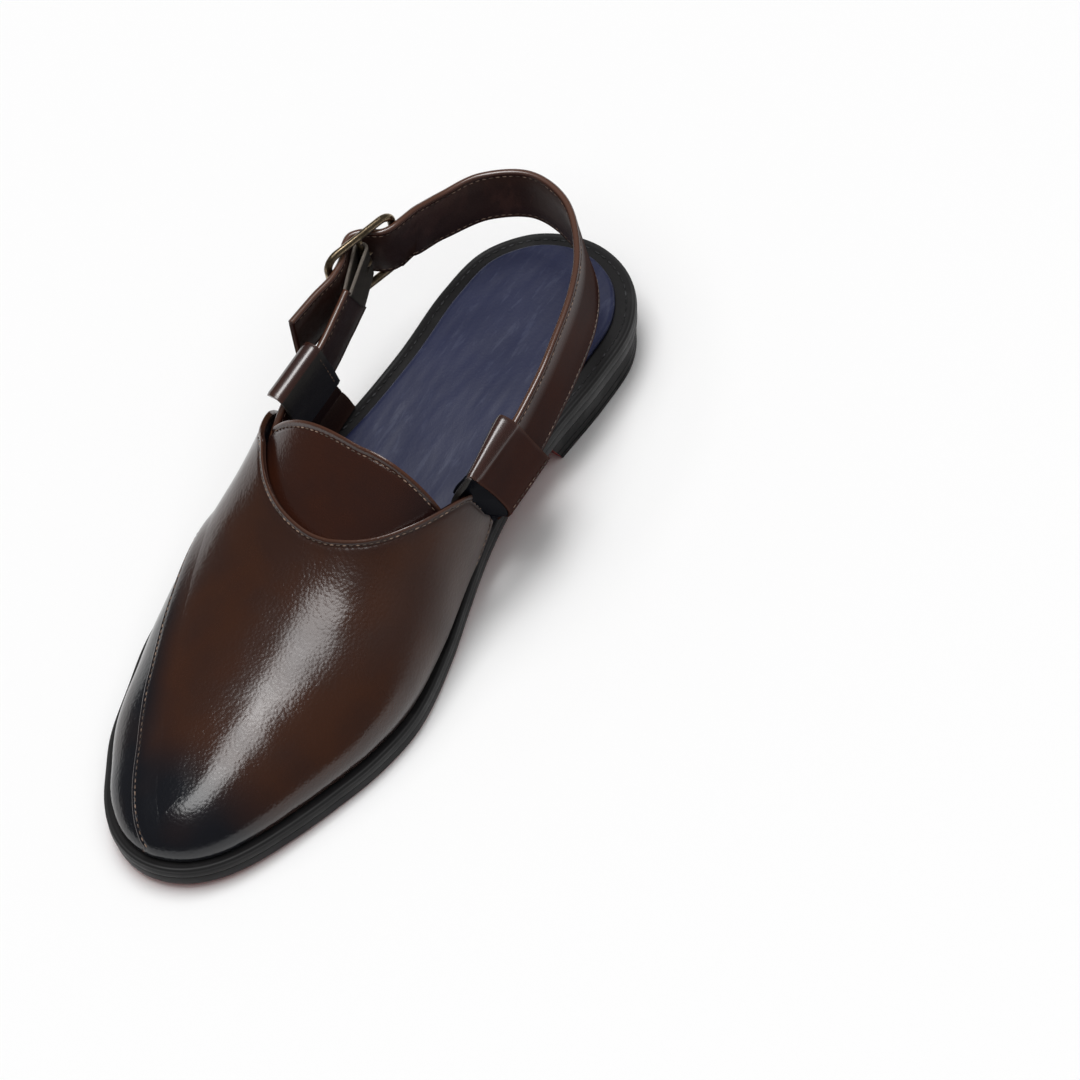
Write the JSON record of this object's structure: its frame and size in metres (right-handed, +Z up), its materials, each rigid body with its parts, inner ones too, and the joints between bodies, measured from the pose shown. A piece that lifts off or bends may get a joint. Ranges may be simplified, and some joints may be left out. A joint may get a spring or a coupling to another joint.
{
  "type": "peshawari chappal",
  "caption": "Brown leather peshawari chappal, right shoe: closed vamp, folded side loops, slingback strap with brass buckle, stitched sole and low heel.",
  "frame": {"origin": "on the floor under the middle of the shoe's box", "axes": "+Z up from the floor; toe towards -Y and heel towards +Y; inner side at +X, outer side with the buckle at -X"},
  "size_m": [0.1072, 0.2868, 0.0766],
  "materials": {
    "outsole": "lacquered red",
    "tread_pad": "matt black-brown tread",
    "heel": "satin black",
    "midsole": "satin black",
    "insole": "navy, lightly creased",
    "upper": "glossy burnished dark brown",
    "tongue": "glossy dark brown",
    "loop_medial": "glossy dark brown",
    "loop_lateral": "glossy dark brown",
    "strap_long": "glossy dark brown, edge stitched",
    "strap_front": "glossy dark brown, edge stitched",
    "elastic": "ribbed elastic web",
    "buckle_frame": "antique brass",
    "buckle_prong": "antique brass"
  },
  "bodies": {
    "root": {"outsole": "outsole", "tread_pad": "tread_pad", "heel": "heel", "midsole": "midsole", "insole": "insole", "upper": "upper", "tongue": "tongue", "loop_medial": "loop_medial", "loop_lateral": "loop_lateral", "strap_long": "strap_long", "strap_front": "strap_front", "elastic": "elastic", "buckle_frame": "buckle_frame", "buckle_prong": "buckle_prong"}
  },
  "joints": []
}
